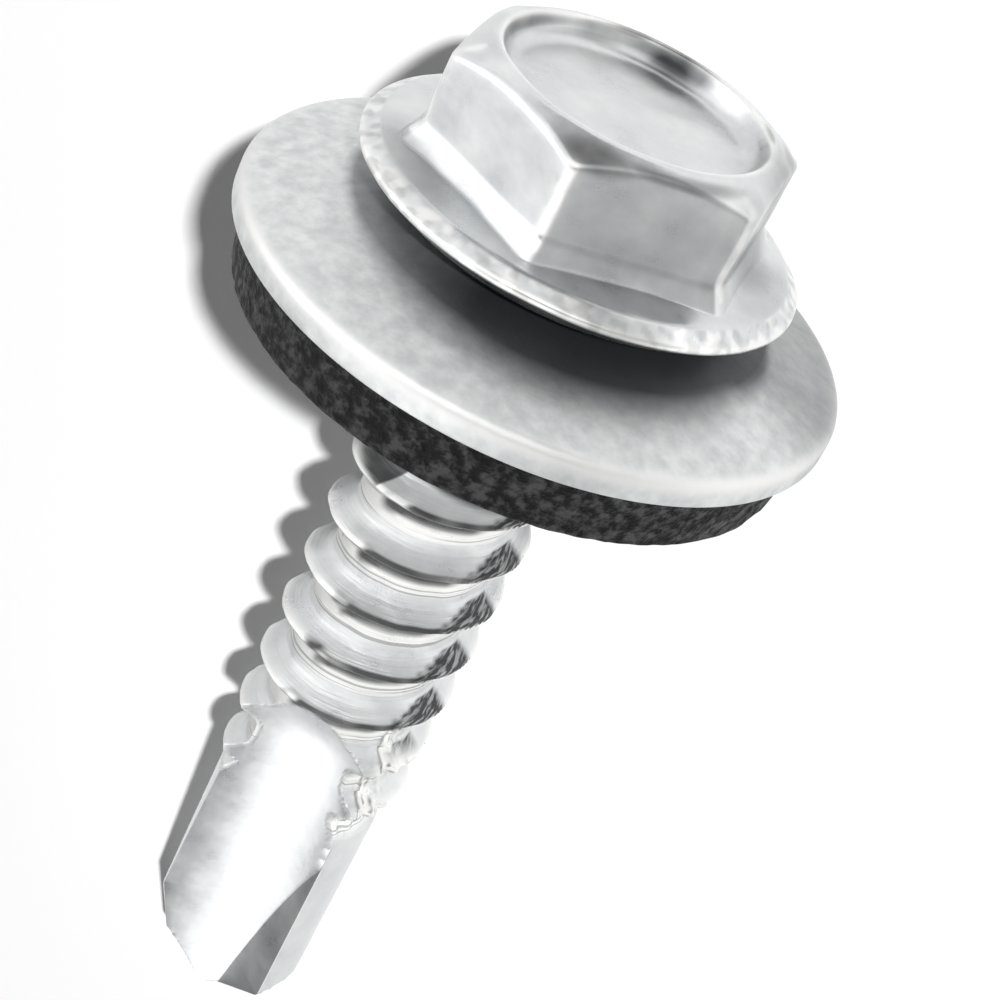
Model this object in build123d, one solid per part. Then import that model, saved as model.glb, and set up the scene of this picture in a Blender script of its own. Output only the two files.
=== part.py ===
from build123d import *
from math import ceil, cos, radians, sin, sqrt, tan
import os

# Self drilling screw with a hex washer head and a bonded sealing washer, millimetres.
# Every piece is made on the screw's own axis: Z runs up to the head, and Z = 0 is the
# flange's underside. The pieces are then laid down together as the screw comes to rest.

# Head
hex_across_flats = 8.0
hex_edge_radius = 0.35
hex_turn = 44.5  # one hex edge, angle about the axis
head_height = 3.9  # flange underside to crown
crown_diameter = 7.3  # where the corner chamfer meets the flat ring on top
chamfer_angle = 30.0
foot_flare = 0.4  # the hex spreads by this much down to the top of the rim's bevel
foot_height = 0.4  # above the flange
recess_diameter = 6.9
recess_depth = 0.6
recess_wall_lean = 0.3
recess_corner_radius = 0.25

# Flange, forged with the head
flange_diameter = 11.5
flange_bearing_diameter = 10.0
rim_low = 0.5  # the rim's lower and upper edge above the underside
rim_high = 0.65
bevel_run = 0.42  # from the rim in to the top of its bevel
bevel_top = 0.95
flange_top_height = 1.12  # at the foot of the hex

# Shank and thread
length_under_head = 28.4
neck_diameter = 4.9
neck_length = 5.2
root_diameter = 4.17
crest_diameter = 5.46
crest_flat = 0.12
thread_pitch = 1.8
flank_angle = 30.0  # of each flank, from square to the axis
thread_turn = 264.3  # the crest passes this angle one pitch below the thread
runout_length = 1.1
shoulder_length = 0.45  # root to neck, and root to drill
root_overlap = 0.15  # depth of the ridge's foot inside the root

# Drill point
drill_diameter = 4.8
drill_length = 8.9
point_angle = 99.0
relief_slope = 0.48  # rise behind the cutting lip, mm for each mm
heel_slope = 2.2  # added past the start of the heel
heel_start = 1.45
rake_turn = 155.25  # first cutting face, angle about the axis
floor_turn = 52.75  # from the flute floor's facing back to the cutting face
web_half = 0.27  # flute floor to axis at the tip
flute_rise = 4.8  # the floor climbs away from the axis, degrees
flute_length = 11.0  # tip to the start of the run-out
flute_end_radius = 3.2
flute_end_sweep = 65.0  # degrees of run-out arc, enough to leave the thread
flute_floor_radius = 8.0
flute_floor_shift = 0.35

# Sealing washer: a dished steel disc with a rubber ring bonded under it
washer_diameter = 16.0
washer_thickness = 0.7
washer_hole_diameter = 6.0
washer_chamfer = 0.16  # takes the sharp edges off its rim
dish_angle = 15.5
seal_inset = 0.3  # the steel's rim stands out past the rubber
seal_foot_inset = 0.25  # the rubber narrows to its foot
seal_rim_thickness = 1.75
seal_chamfer = 0.15
running_gap = 0.06  # radial play between the seal and the neck
seat_gap = 0.04  # play between the flange and the top of the dish

crown_radius = crown_diameter / 2
recess_radius = recess_diameter / 2
neck_radius = neck_diameter / 2
root_radius = root_diameter / 2
crest_radius = crest_diameter / 2
drill_radius = drill_diameter / 2
washer_radius = washer_diameter / 2
washer_hole_radius = washer_hole_diameter / 2
seal_radius = washer_radius - seal_inset
seal_foot_radius = seal_radius - seal_foot_inset
thread_bottom = drill_length - length_under_head
beyond = 2 * washer_diameter  # larger than any piece, for cutting blocks


def turned(*points):
    """Solid turned about the screw's axis from (radius, height) points."""
    return revolve(Plane.XZ * make_face(Polyline(*points, close=True)), Axis.Z)


def direction(turn):
    return Vector(cos(radians(turn)), sin(radians(turn)), 0)


def below(origin, normal):
    """Block that fills the side of a plane away from its normal."""
    return extrude(Plane(origin, z_dir=normal) * Rectangle(beyond, beyond), -beyond)


def hexagon(across_flats, height):
    corner = across_flats / 2 / cos(radians(30))
    outline = RegularPolygon(corner, 6, rotation=hex_turn)
    return Pos(0, 0, height) * fillet(outline.vertices(), hex_edge_radius)


def flange():
    return turned(
        (0, 0),
        (flange_bearing_diameter / 2, 0),
        (flange_diameter / 2, rim_low),
        (flange_diameter / 2, rim_high),
        (flange_diameter / 2 - bevel_run, bevel_top),
        (hex_across_flats / 2, flange_top_height),
        (0, flange_top_height),
    )


def recess():
    """Shallow round pocket in the crown, left by the heading punch."""
    pocket = turned(
        (0, head_height - recess_depth),
        (recess_radius - recess_wall_lean, head_height - recess_depth),
        (recess_radius, head_height),
        (recess_radius, head_height + recess_depth),
        (0, head_height + recess_depth),
    )
    floor_edge = pocket.edges().filter_by(GeomType.CIRCLE).group_by(Axis.Z)[0]
    return fillet(floor_edge, recess_corner_radius)


def head():
    stem_bottom = flange_top_height / 2
    foot_top = flange_top_height + foot_height
    stem = extrude(hexagon(hex_across_flats, stem_bottom), head_height - stem_bottom)
    wide = hexagon(hex_across_flats + 2 * foot_flare, bevel_top)
    foot = loft([wide, hexagon(hex_across_flats, foot_top)], ruled=True)
    outside = hex_across_flats
    drop = (outside - crown_radius) * tan(radians(chamfer_angle))
    chamfer_ring = turned(
        (crown_radius, head_height),
        (outside, head_height),
        (outside, head_height - drop),
    )
    return flange() + stem + foot - chamfer_ring - recess()


def core():
    """Neck, thread root and drill blank, one under the other."""
    return turned(
        (0, flange_top_height / 2),
        (neck_radius, flange_top_height / 2),
        (neck_radius, -neck_length),
        (root_radius, -neck_length - shoulder_length),
        (root_radius, thread_bottom + shoulder_length),
        (drill_radius, thread_bottom),
        (drill_radius, -length_under_head),
        (0, -length_under_head),
    )


def ridge():
    """One turn of the thread's sharp rolled ridge, taller than the finished crest."""
    slope = tan(radians(flank_angle))
    peak = crest_flat / 4 / slope
    sunk = crest_radius - root_radius + root_overlap
    path = Helix(thread_pitch, thread_pitch, crest_radius)
    section = Plane(path @ 0, x_dir=(1, 0, 0), z_dir=path % 0) * make_face(
        Polyline(
            (peak, crest_flat / 2 - peak * slope),
            (-sunk, crest_flat / 2 + sunk * slope),
            (-sunk, -crest_flat / 2 - sunk * slope),
            (peak, -crest_flat / 2 + peak * slope),
            close=True,
        )
    )
    return sweep(section, path, is_frenet=True)


def shank():
    """Core with the ridge wound on it, trimmed to the crest diameter and faded out at
    both ends of the thread."""
    first = ridge()
    start = thread_bottom - thread_pitch
    count = ceil((-neck_length - start) / thread_pitch) + 1
    turns = [
        Pos(0, 0, start + thread_pitch * number) * Rot(0, 0, thread_turn) * first
        for number in range(count)
    ]
    envelope = turned(
        (0, flange_top_height / 2),
        (neck_radius, flange_top_height / 2),
        (neck_radius, -neck_length),
        (crest_radius, -neck_length - runout_length),
        (crest_radius, thread_bottom + runout_length),
        (drill_radius, thread_bottom),
        (drill_radius, -length_under_head),
        (0, -length_under_head),
    )
    return (core() + turns) & envelope


def flute():
    """Solid to cut away for one flute: a hollow floor that runs out upwards, and a
    flat cutting face that holds the axis."""
    facing = rake_turn - floor_turn
    rise = radians(flute_rise)
    floor_end = flute_length * tan(rise) + web_half
    tip = -length_under_head
    extra = drill_radius
    foot = (web_half - extra * tan(rise), tip - extra)
    lift = JernArc(
        start=(floor_end, tip + flute_length),
        tangent=(sin(rise), cos(rise)),
        radius=flute_end_radius,
        arc_size=-flute_end_sweep,
    )
    centre = web_half + flute_floor_radius
    outline = Polyline(
        lift @ 1,
        (centre, (lift @ 1).Y),
        (centre, tip - extra),
        foot,
        lift @ 0,
    )
    half = Plane.XZ * make_face([lift, outline])
    cutter = revolve(half, Axis((centre, 0, 0), (0, 0, 1)))
    cutter = Rot(0, 0, facing) * Pos(0, -flute_floor_shift, 0) * cutter
    return cutter - below((0, 0, tip), direction(rake_turn - 90))


def point_blocks():
    """Relief planes of both cutting lips."""
    rise = 1 / tan(radians(point_angle / 2))
    blocks = []
    for turn in (rake_turn, rake_turn + 180):
        along = direction(turn)
        behind = direction(turn + 90)
        up = Vector(0, 0, 1)
        tip = Vector(0, 0, -length_under_head)
        blocks.append(below(tip, up - along * rise - behind * relief_slope))
        heel = tip + behind * heel_start + up * (relief_slope * heel_start)
        blocks.append(below(heel, up - along * rise - behind * (relief_slope + heel_slope)))
    return blocks


def screw():
    body = head() + shank() - flute()
    body -= Rot(0, 0, 180) * flute()
    for block in point_blocks():
        body -= block
    return body


def dish_underside(radius):
    rise = tan(radians(dish_angle))
    depth = seat_gap + washer_thickness / cos(radians(dish_angle))
    return -depth - (radius - washer_hole_radius) * rise


def steel_washer():
    top = washer_thickness / cos(radians(dish_angle))
    disc = turned(
        (washer_hole_radius, dish_underside(washer_hole_radius)),
        (washer_hole_radius, dish_underside(washer_hole_radius) + top),
        (washer_radius, dish_underside(washer_radius) + top),
        (washer_radius, dish_underside(washer_radius)),
    )
    rims = disc.edges().filter_by(GeomType.CIRCLE).group_by(SortBy.RADIUS)[-1]
    return chamfer(rims, washer_chamfer)


def rubber_seal():
    bore = neck_radius + running_gap
    bottom = dish_underside(seal_radius) - seal_rim_thickness
    ring = turned(
        (bore, bottom),
        (bore, dish_underside(bore)),
        (seal_radius, dish_underside(seal_radius)),
        (seal_foot_radius, bottom),
    )
    foot_edge = ring.edges().filter_by(GeomType.CIRCLE).group_by(Axis.Z)[0]
    return chamfer(foot_edge.sort_by(SortBy.RADIUS)[-1], seal_chamfer)


def floor_plane(body):
    """Plane that the screw lies on: it touches the drill point on both sides of the axis,
    and the edge of the washer or of the seal's foot, whichever reaches further."""
    seal_bottom = dish_underside(seal_radius) - seal_rim_thickness
    washer_bottom = dish_underside(washer_radius)
    chamfer_run = washer_chamfer * cos(radians(dish_angle))
    chamfer_rise = washer_chamfer * sin(radians(dish_angle))
    rims = [
        (seal_foot_radius - seal_chamfer, seal_bottom),
        (seal_foot_radius, seal_bottom + seal_chamfer),
        (washer_radius - chamfer_run, washer_bottom + chamfer_rise),
        (washer_radius, washer_bottom + washer_chamfer),
    ]
    drill_edges = [edge for edge in body.edges() if edge.center().Z < thread_bottom]
    points = [edge @ (step / 24) for edge in drill_edges for step in range(25)]
    slope = -washer_radius / length_under_head
    for _ in range(12):
        left, right = [
            min((point for point in points if point.X * side > 0), key=lambda p: p.Y - slope * p.Z)
            for side in (-1, 1)
        ]
        roll = (right.Y - left.Y - slope * (right.Z - left.Z)) / (right.X - left.X)
        across = sqrt(1 + roll**2)
        slope = min(
            (left.Y + reach * across - roll * left.X) / (left.Z - height)
            for reach, height in rims
        )
    up = Vector(-roll, 1, -slope)
    along = Vector(0, 0, 1) - up * (up.Z / up.dot(up))
    return Plane(tuple(left), x_dir=along.cross(up), z_dir=up)


def main():
    pieces = {"screw": screw(), "steel_washer": steel_washer(), "rubber_seal": rubber_seal()}
    floor = floor_plane(pieces["screw"])
    lying = {name: floor.to_local_coords(piece) for name, piece in pieces.items()}
    box = Compound(list(lying.values())).bounding_box()
    os.makedirs("parts", exist_ok=True)
    for name, piece in lying.items():
        placed = Pos(-box.center().X, -box.center().Y, 0) * piece
        export_step(placed, f"parts/{name}.step")


main()
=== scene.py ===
import math

import bpy
import numpy as np
from mathutils import Euler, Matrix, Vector


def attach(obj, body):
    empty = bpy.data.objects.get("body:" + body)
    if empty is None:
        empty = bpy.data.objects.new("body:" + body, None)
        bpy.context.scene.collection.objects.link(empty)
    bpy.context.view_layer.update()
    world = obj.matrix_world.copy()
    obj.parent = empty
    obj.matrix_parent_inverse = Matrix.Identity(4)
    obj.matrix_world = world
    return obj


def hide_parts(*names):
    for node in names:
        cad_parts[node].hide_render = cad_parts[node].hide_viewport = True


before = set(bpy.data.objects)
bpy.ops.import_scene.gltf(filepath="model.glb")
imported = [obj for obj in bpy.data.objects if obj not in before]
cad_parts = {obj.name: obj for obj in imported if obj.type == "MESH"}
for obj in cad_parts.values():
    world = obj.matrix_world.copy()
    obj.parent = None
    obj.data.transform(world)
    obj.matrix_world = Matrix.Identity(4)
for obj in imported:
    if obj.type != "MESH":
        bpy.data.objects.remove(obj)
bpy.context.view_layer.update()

print("frame loaded")

# The screw is worked out on its own axis in millimetres, z = 0 at the flange's underside,
# and then laid down the way it comes to rest, with the washer's rim and the drill point on the floor.
lying = {
    "origin": (0.0, 11.3094, 8.2394),
    "across": (-0.9999982, 0.0005165, -0.0017993),
    "upward": (-0.001872, -0.2758861, 0.9611885),
    "along": (0.0, 0.9611902, 0.2758865),
}


def layDown(points):
    # laid point = origin + x * across + y * upward + z * along, millimetres to metres;
    # nothing reaches below the floor
    axes = np.array([lying["across"], lying["upward"], lying["along"]])
    laid = np.array(lying["origin"]) + points @ axes
    laid[..., 2] = np.maximum(laid[..., 2], 0)
    return laid / 1000


def around(radius, turn, height):
    # x = radius * cos(turn), y = radius * sin(turn), z = height
    return np.stack([radius * np.cos(turn), radius * np.sin(turn), height], axis=-1)


def ramp(value, start, width):
    # 0 up to start, then a straight climb to 1 over width; a negative width climbs the other way
    return np.clip((value - start) / width, 0, 1)


def unevenness(points, size, seed, waves=14):
    # smooth noise between about -2 and 2: the sum of sine waves in random directions,
    # each 0.7 to 1.6 times size long, over the square root of half their number
    rng = np.random.default_rng(seed)
    heading = rng.normal(size=(waves, 3))
    heading /= np.linalg.norm(heading, axis=1)[:, None]
    pace = 2 * np.pi / (size * rng.uniform(0.7, 1.6, waves))
    phase = rng.uniform(0, 2 * np.pi, waves)
    waveSum = np.sin((points @ heading.T) * pace + phase).sum(axis=-1)
    return waveSum / math.sqrt(waves / 2)


def softCorners(corners, softness, straightSteps, curveSteps=5):
    # profile through corner lines: each corner c becomes the curve
    # (1 - t)^2 a + 2 t (1 - t) c + t^2 b, where a and b lie on the two sides, softness away from c
    count = len(corners)
    starts, ends, curves = [corners[0]], [], []
    for k in range(1, count - 1):
        back = corners[k - 1] - corners[k]
        ahead = corners[k + 1] - corners[k]
        backLength = np.linalg.norm(back, axis=-1, keepdims=True)
        aheadLength = np.linalg.norm(ahead, axis=-1, keepdims=True)
        reach = np.minimum(softness[k], 0.45 * np.minimum(backLength, aheadLength))
        a = corners[k] + back / backLength * reach
        b = corners[k] + ahead / aheadLength * reach
        t = np.linspace(0, 1, curveSteps + 1)[:, None, None]
        curves.append((1 - t) ** 2 * a + 2 * t * (1 - t) * corners[k] + t ** 2 * b)
        ends.append(a)
        starts.append(b)
    ends.append(corners[-1])
    rows = []
    for k in range(count - 1):
        t = np.linspace(0, 1, straightSteps[k] + 1)[:, None, None]
        straight = starts[k] + (ends[k] - starts[k]) * t
        rows.append(straight if k == 0 else straight[1:])
        if k < count - 2:
            rows.append(curves[k][1:])
    return np.concatenate(rows)


def surfaceObject(name, grid, u, v, marks, body):
    # grid holds rows x columns of points; doubled points become one, and empty triangles go.
    # u and v make the UV map "along", and each of the marks becomes an attribute for the materials
    rows, columns = grid.shape[:2]
    flat = np.round(grid.reshape(-1, 3), 6)
    spots, first, lookup = np.unique(flat, axis=0, return_index=True, return_inverse=True)
    lookup = lookup.reshape(rows, columns)
    order = np.arange(rows * columns).reshape(rows, columns)

    def corners(table):
        # two triangles for each cell of the grid
        a, b = table[:-1, :-1], table[:-1, 1:]
        c, d = table[1:, 1:], table[1:, :-1]
        one = np.stack([a, b, c], -1).reshape(-1, 3)
        two = np.stack([a, c, d], -1).reshape(-1, 3)
        return np.concatenate([one, two])

    faces, gridCorners = corners(lookup), corners(order)
    whole = (faces[:, 0] != faces[:, 1]) & (faces[:, 1] != faces[:, 2]) & (faces[:, 2] != faces[:, 0])
    faces, gridCorners = faces[whole], gridCorners[whole]
    mesh = bpy.data.meshes.new(name)
    mesh.vertices.add(len(spots))
    mesh.vertices.foreach_set("co", layDown(spots).astype(np.float32).ravel())
    mesh.loops.add(faces.size)
    mesh.loops.foreach_set("vertex_index", faces.astype(np.int32).ravel())
    mesh.polygons.add(len(faces))
    mesh.polygons.foreach_set("loop_start", np.arange(0, faces.size, 3, dtype=np.int32))
    mesh.polygons.foreach_set("loop_total", np.full(len(faces), 3, dtype=np.int32))
    mesh.update(calc_edges=True)
    mesh.polygons.foreach_set("use_smooth", np.ones(len(faces), dtype=bool))
    layer = mesh.uv_layers.new(name="along")
    pair = np.stack([u.ravel()[gridCorners], v.ravel()[gridCorners]], -1)
    layer.data.foreach_set("uv", pair.astype(np.float32).ravel())
    for label, values in marks.items():
        layer = mesh.attributes.new(label, "FLOAT", "POINT")
        layer.data.foreach_set("value", values.ravel()[first].astype(np.float32))
    mesh.validate()
    piece = bpy.data.objects.new(name, mesh)
    bpy.context.scene.collection.objects.link(piece)
    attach(piece, body)
    print(name, len(faces), "triangles")
    return piece


# millimetres and degrees, heights above the flange's underside
head = {
    "acrossFlats": 8.0, "edgeRadius": 0.4, "hexTurn": 44.5, "height": 3.9,
    "crownRadius": 3.65, "chamferAngle": 30.0,
    "recessRadius": 3.45, "recessDepth": 0.6, "recessLean": 0.3,
    "footSpread": 0.4, "footTop": 1.52, "flangeRadius": 5.75, "bearingRadius": 5.0,
    "rimLow": 0.5, "rimHigh": 0.65, "bevelRun": 0.42, "bevelTop": 0.95, "flangeTop": 1.12,
    "forgingUnevenness": 0.008, "columns": 400,
    # further columns beside each hex corner, degrees from it
    "cornerColumns": (0, 0.2, 0.45, 0.7, 1.0, 1.3, 1.7, 2.2),
    # rounding at the profile's corners, and rows between them, from the recess floor to the underside
    "softness": (0, 0.32, 0.1, 0.16, 0.16, 0.14, 0.06, 0.1, 0.08, 0.08, 0.1, 0),
    "rows": (12, 12, 6, 8, 14, 5, 10, 6, 2, 5, 5),
    # bright wear: half widths at the crown, the rim and, in degrees, the hex corners; patches on the bevel
    "crownWear": 0.12, "rimWear": 0.16, "rimWearHeight": 0.6, "cornerWear": 2.6,
    "bevelWear": 0.8, "bevelOil": 0.22,
    # painted shade and dark reflections on the faces: turn, radius, height, their half widths, amount
    "paintedShades": (
        (283, 3.34, 3.64, 19, 0.46, 0.42, 0.97), (300, 3.50, 3.86, 14, 0.16, 0.14, 0.6),
        (2, 3.42, 3.66, 36, 0.14, 0.22, 0.7), (332, 3.30, 3.45, 22, 0.14, 0.16, 0.4),
        (222, 3.50, 3.86, 9, 0.07, 0.1, 0.55), (109, 4.18, 3.64, 13, 0.5, 0.36, 0.68),
        (141, 3.98, 3.74, 25, 0.24, 0.18, 0.55), (205, 4.06, 3.70, 26, 0.32, 0.25, 0.52),
        (199, 4.2, 2.4, 24, 1.2, 1.9, 0.68), (166, 4.3, 2.4, 9, 0.8, 1.6, 0.25),
        (194, 5.0, 1.05, 26, 0.7, 0.2, 0.25), (60, 5.0, 1.05, 24, 0.7, 0.25, 0.44),
        (118, 5.32, 0.95, 32, 0.05, 0.06, 0.5), (138, 4.2, 2.3, 27, 0.9, 1.3, 0.17),
    ),
}


def degreesFromCorner(turn):
    # signed angle to the nearest of the six corners
    return (np.degrees(turn) - head["hexTurn"] + 30) % 60 - 30


def hexShape(turn, apothem, edgeRadius):
    # flats: apothem / cos(angle from the flat's middle); edges: a circle of edgeRadius whose
    # centre stands (apothem - edgeRadius) / cos(30) out towards the corner
    phi = np.radians(np.abs(degreesFromCorner(turn)))
    sixth = math.radians(30)
    flats = apothem / np.cos(sixth - phi)
    stand = (apothem - edgeRadius) / math.cos(sixth)
    inside = np.maximum(edgeRadius ** 2 - (stand * np.sin(phi)) ** 2, 0)
    rounded = stand * np.cos(phi) + np.sqrt(inside)
    reach = sixth - math.atan((apothem - edgeRadius) * math.tan(sixth) / apothem)
    return np.where(phi < reach, rounded, flats)


def headProfile(turn):
    # the half section at every turn, from the middle of the recess over the hex to the underside:
    # straight lines between corners, whose radius and height change with the turn where the hex does
    apothem = head["acrossFlats"] / 2
    hexRadius = hexShape(turn, apothem, head["edgeRadius"])
    ease = hexRadius / apothem
    chamferFall = math.tan(math.radians(head["chamferAngle"]))
    chamferLow = head["height"] - (hexRadius - head["crownRadius"]) * chamferFall
    bevelRadius = head["flangeRadius"] - head["bevelRun"]
    fall = (head["flangeTop"] - head["bevelTop"]) / (bevelRadius - apothem)
    lean = head["footSpread"] / (head["footTop"] - head["bevelTop"])
    # foot meets flange: r = ease * (apothem + lean * (footTop - z)) and z = flangeTop - fall * (r - apothem)
    first = ease * (apothem + lean * (head["footTop"] - head["flangeTop"])) - apothem
    footOut = apothem + first / (1 - ease * lean * fall)
    footLow = head["flangeTop"] - fall * (footOut - apothem)
    recessFloor = head["height"] - head["recessDepth"]
    lines = [
        (0, recessFloor),
        (head["recessRadius"] - head["recessLean"], recessFloor),
        (head["recessRadius"], head["height"]),
        (head["crownRadius"], head["height"]),
        (hexRadius, chamferLow),
        (hexRadius, head["footTop"]),
        (footOut, footLow),
        (bevelRadius, head["bevelTop"]),
        (head["flangeRadius"], head["rimHigh"]),
        (head["flangeRadius"], head["rimLow"]),
        (head["bearingRadius"], 0),
        (0, 0),
    ]
    corners = np.array([np.stack([r + 0 * turn, z + 0 * turn], -1) for r, z in lines])
    profile = softCorners(corners, head["softness"], head["rows"])
    return profile[..., 0], profile[..., 1]


def headMarks(grid, turns, radius, height):
    # what the materials read: bright wear, and dark residue with painted shade, each from 0 to 1
    # edgeWear: 1 on the rounded edges of crown, corners and rim, exp(-(distance / half width)^2) beside them
    onSide = (height > 1.2) & (radius > 3.9)
    ragged = np.clip(0.75 + 0.35 * unevenness(grid, 0.45, 5), 0, 1)
    wear = np.where(onSide, np.exp(-(degreesFromCorner(turns) / head["cornerWear"]) ** 2), 0) * ragged
    crownEdge = (head["recessRadius"], head["height"], head["crownWear"])
    rimEdge = (head["flangeRadius"], head["rimWearHeight"], head["rimWear"])
    for r, z, halfWidth in (crownEdge, rimEdge):
        wear = np.maximum(wear, np.exp(-((radius - r) ** 2 + (height - z) ** 2) / halfWidth ** 2))
    # bright and grey patches alternate along the rim's bevel
    onBevel = ramp(radius, head["flangeRadius"] - head["bevelRun"], 0.06) * (height > 0.4)
    brightPatches = np.clip(0.3 + 0.7 * unevenness(grid, 0.5, 6, 30), 0, 1)
    wear = np.maximum(wear, head["bevelWear"] * onBevel * brightPatches)
    residueAndShade = head["bevelOil"] * onBevel * np.clip(unevenness(grid, 0.4, 8, 30), 0, 1)
    # residue and painted shade: each painted shade is amount * exp(-spot^2), where spot adds up the squared
    # distances in half widths
    patchy = np.clip(1 + 0.12 * unevenness(grid, 0.9, 7), 0.7, 1)
    for place, r, z, halfTurn, halfRadius, halfHeight, amount in head["paintedShades"]:
        offTurn = (np.degrees(turns) - place + 180) % 360 - 180
        spot = (offTurn / halfTurn) ** 2 + ((radius - r) / halfRadius) ** 2 + ((height - z) / halfHeight) ** 2
        residueAndShade = np.maximum(residueAndShade, amount * np.exp(-spot ** 2) * patchy)
    return {"edgeWear": wear[::-1], "residueAndShade": residueAndShade[::-1]}


def makeHead():
    # point = (radius, height) of the half section at each turn, carried once round the axis
    plain = np.linspace(0, 360, head["columns"] + 1)
    beside = np.array(head["cornerColumns"])
    extra = (head["hexTurn"] + 60 * np.arange(6)[:, None] + np.concatenate([-beside, beside])).ravel() % 360
    turn = np.radians(np.unique(np.round(np.concatenate([plain, extra]), 4)))
    radius, height = headProfile(turn)
    turns = np.broadcast_to(turn, radius.shape)
    points = around(radius, turns, height)
    # the forged faces are a little uneven; the bearing underside stays true
    amount = head["forgingUnevenness"] * ramp(height, 0, 0.8) * ramp(radius, 0, 0.6)
    radius = radius + amount * unevenness(points, 1.7, 3)
    height = height + 0.6 * amount * unevenness(points, 1.3, 4)
    radius[:, -1], height[:, -1] = radius[:, 0], height[:, 0]
    grid = around(radius, turns, height)
    grid[:, -1] = grid[:, 0]
    grid[0], grid[-1] = grid[0, 0], grid[-1, 0]
    return surfaceObject("screw_head", grid[::-1], np.degrees(turns[::-1]) / 360, height[::-1],
                         headMarks(grid, turns, radius, height), "screw")


# millimetres and degrees; depths below the flange's underside are negative
shank = {
    "neckRadius": 2.45, "neckEnd": -5.2, "rootRadius": 2.085, "crestRadius": 2.73,
    "crestFlat": 0.12, "pitch": 1.8, "flankAngle": 30.0, "threadTurn": 264.3,
    "runout": 1.1, "shoulder": 0.45, "threadEnd": -19.5, "tip": -28.4,
    "drillRadius": 2.4, "pointAngle": 99.0, "relief": 0.48, "heelRelief": 2.2, "heelStart": 1.45,
    "rakeTurn": 155.25, "floorTurn": 52.75, "webHalf": 0.27, "fluteRise": 4.8,
    "fluteLength": 11.0, "endRadius": 3.2, "floorRadius": 5.6, "floorShift": 0.35,
    "crestSoftness": 0.2, "rootSoftness": 0.26, "rollingUnevenness": 0.010,
    "burrTurn": 20.0, "burrTop": -14.9, "burrHeight": 0.08,
    # painted shade under the crests: turns between which it fills the root's corner, how much later it begins
    # for each millimetre away from that corner, and turns between which painted shade shows as strokes
    "cornerShadeTurns": (68, 160), "cornerShadeWedge": 17, "cornerShadeAmount": 0.95, "strokeTurns": (141, 194), "strokesEnd": -16.2,
    # painted shadow of the seal on the neck, dullness of the ground point, and how matt the flanks are
    "sealShadowStart": -7.25, "sealShadow": 0.9, "groundDullness": 0.35, "flankMatt": 0.62,
    "columns": 300, "landShare": 0.26,      # share of the columns that lies on the land
    # rows above the tip, rows across one pitch in pitches from the crest, and rows of the neck
    "tipRows": (0.002, 0.01, 0.025, 0.05, 0.08, 0.12, 0.17, 0.23, 0.3), "drillRows": 74,
    "helixRows": (-0.5, -0.43, -0.36, -0.29, -0.265, -0.24, -0.215, -0.17, -0.12, -0.07, -0.045, -0.022,
                  0.0, 0.022, 0.045, 0.07, 0.12, 0.17, 0.215, 0.24, 0.265, 0.29, 0.36, 0.43),
    "neckRows": (-4.9, -4.4, -3.6, -2.6, -1.4, -0.3, 0.35),
}


def softLower(a, b, blend):
    # the lower of two values with a rounded hollow or ridge where they cross:
    # b + (a - b) h - blend h (1 - h), where h climbs from 0 to 1 as b - a goes from -blend to blend
    h = np.clip(0.5 + 0.5 * (b - a) / blend, 0, 1)
    return b + (a - b) * h - blend * h * (1 - h)


def crestHeight(turn):
    # the helix: one pitch up for each turn
    pitch = shank["pitch"]
    return shank["threadEnd"] - pitch + pitch * (np.degrees(turn) - shank["threadTurn"]) / 360


def threadRadius(turn, height):
    # r = crestRadius - (distance from the nearest crest along the axis - half the flat) / tan(flankAngle),
    # softly cut off at the crest and the root
    pitch = shank["pitch"]
    away = np.abs((height - crestHeight(turn) + pitch / 2) % pitch - pitch / 2)
    slope = math.tan(math.radians(shank["flankAngle"]))
    flank = shank["crestRadius"] - (away - shank["crestFlat"] / 2) / slope
    ridge = softLower(flank, shank["crestRadius"] + 0 * away, shank["crestSoftness"])
    return -softLower(-ridge, -shank["rootRadius"] + 0 * away, shank["rootSoftness"])


def steppedRadius(height, middle, ease):
    # drill radius below the thread, middle along it and neck radius above, joined over ease
    s = shank
    z = [-40, s["threadEnd"], s["threadEnd"] + ease, s["neckEnd"] - ease, s["neckEnd"], 10]
    r = [s["drillRadius"], s["drillRadius"], middle, middle, s["neckRadius"], s["neckRadius"]]
    return np.interp(height, z, r)


def woundRadius(turn, height):
    # the thread stands on the root and fades out at both ends
    core = steppedRadius(height, shank["rootRadius"], shank["shoulder"])
    cover = steppedRadius(height, shank["crestRadius"], shank["runout"])
    wound = np.minimum(threadRadius(turn, height), cover)
    inThread = (height < shank["neckEnd"]) & (height > shank["threadEnd"])
    return np.where(inThread, np.maximum(core, wound), core)


def floorDistance(height):
    # the flute's floor climbs from the web, distance = webHalf + (z - tip) * tan(fluteRise),
    # and then curls out of the steel on a circle of endRadius
    s = shank
    rise = math.radians(s["fluteRise"])
    end = s["tip"] + s["fluteLength"]
    straight = s["webHalf"] + (height - s["tip"]) * math.tan(rise)
    centreX = s["webHalf"] + s["fluteLength"] * math.tan(rise) + s["endRadius"] * math.cos(rise)
    centreZ = end - s["endRadius"] * math.sin(rise)
    lift = np.clip((height - centreZ) / s["endRadius"], 0, 1)
    curled = centreX - s["endRadius"] * np.sqrt(1 - lift ** 2)
    return np.where(height < end, straight, curled)


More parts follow.
